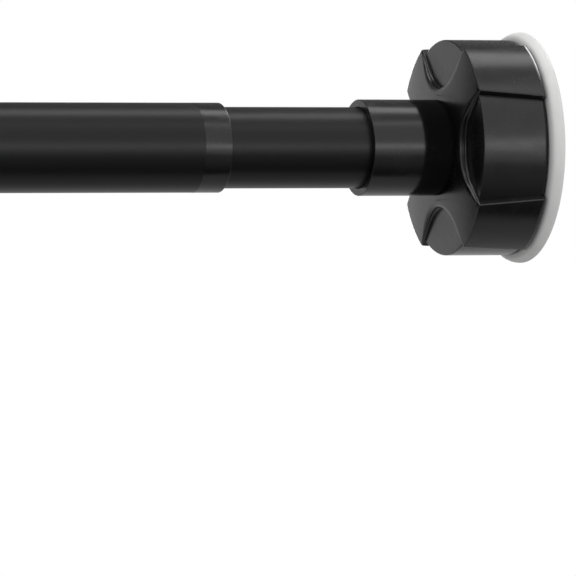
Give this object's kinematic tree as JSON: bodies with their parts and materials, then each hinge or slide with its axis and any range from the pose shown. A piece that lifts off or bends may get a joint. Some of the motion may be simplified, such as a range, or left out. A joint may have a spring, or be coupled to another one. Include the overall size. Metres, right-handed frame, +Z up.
{
  "type": "spring tension rod",
  "caption": "Telescoping tension rod with a twist-locked inner tube, a hidden compression spring, a notched screw knob and soft wall pads, made to brace between facing walls.",
  "frame": {"origin": "centre of the left pad's wall face, on the rod's axis", "axes": "+X along the rod towards the adjusting knob, +Z up, a notch of each knob at the top"},
  "size_m": [0.7902, 0.065, 0.065],
  "materials": {
    "tube_coat": "satin black powder coat on steel",
    "knob_plastic": "satin black moulded plastic",
    "pad_silicone": "pale grey silicone",
    "plain_nylon": "natural nylon",
    "bright_steel": "bright zinc"
  },
  "bodies": {
    "outer": {"outer_tube": "tube_coat", "mouth_ring": "knob_plastic", "left_tube_plug": "plain_nylon", "left_knob": "knob_plastic", "left_cap_screw": "bright_steel", "left_pad_plate": "plain_nylon", "left_pad": "pad_silicone"},
    "lock_sleeve": {"lock_sleeve": "plain_nylon"},
    "lock_wedge": {"lock_wedge": "plain_nylon"},
    "inner": {"inner_tube": "tube_coat", "lock_plug": "plain_nylon", "lock_bolt": "bright_steel", "spring_stop": "plain_nylon", "tension_spring": "bright_steel", "end_bush": "plain_nylon"},
    "thrust_nut": {"thrust_nut": "plain_nylon", "spring_washer": "bright_steel"},
    "right_foot": {"right_pad_plate": "plain_nylon", "right_pad": "pad_silicone"},
    "right_knob": {"right_knob": "knob_plastic", "spindle": "bright_steel", "pivot_screw": "bright_steel"}
  },
  "joints": [
    {"name": "tube_slide", "type": "slide", "parent": "outer", "child": "lock_sleeve", "axis": [1, 0, 0], "range_m": [-0.0282, 0.4798]},
    {"name": "tube_twist", "type": "hinge", "parent": "lock_sleeve", "child": "inner", "pos_m": [0.1181, 0, 0], "axis": [1, 0, 0], "range_deg": [0, 720]},
    {"name": "wedge_travel", "type": "slide", "parent": "lock_sleeve", "child": "lock_wedge", "axis": [1, 0, 0], "range_m": [-0.0025, 0]},
    {"name": "spring_travel", "type": "slide", "parent": "inner", "child": "thrust_nut", "axis": [1, 0, 0], "range_m": [-0.01, 0], "stiffness_N_per_m": 8000, "springref_m": 0.005, "deforming": ["tension_spring"]},
    {"name": "foot_advance", "type": "slide", "parent": "thrust_nut", "child": "right_foot", "axis": [1, 0, 0], "range_m": [0, 0.015]},
    {"name": "knob_turn", "type": "hinge", "parent": "right_foot", "child": "right_knob", "pos_m": [0.7757, 0, 0], "axis": [1, 0, 0], "range_deg": [0, 1800]}
  ],
  "couplings": [
    {"joint": "wedge_travel", "follows": "tube_twist", "m_per_rad": -0.00019894},
    {"joint": "foot_advance", "follows": "knob_turn", "m_per_rad": 0.00047746}
  ]
}
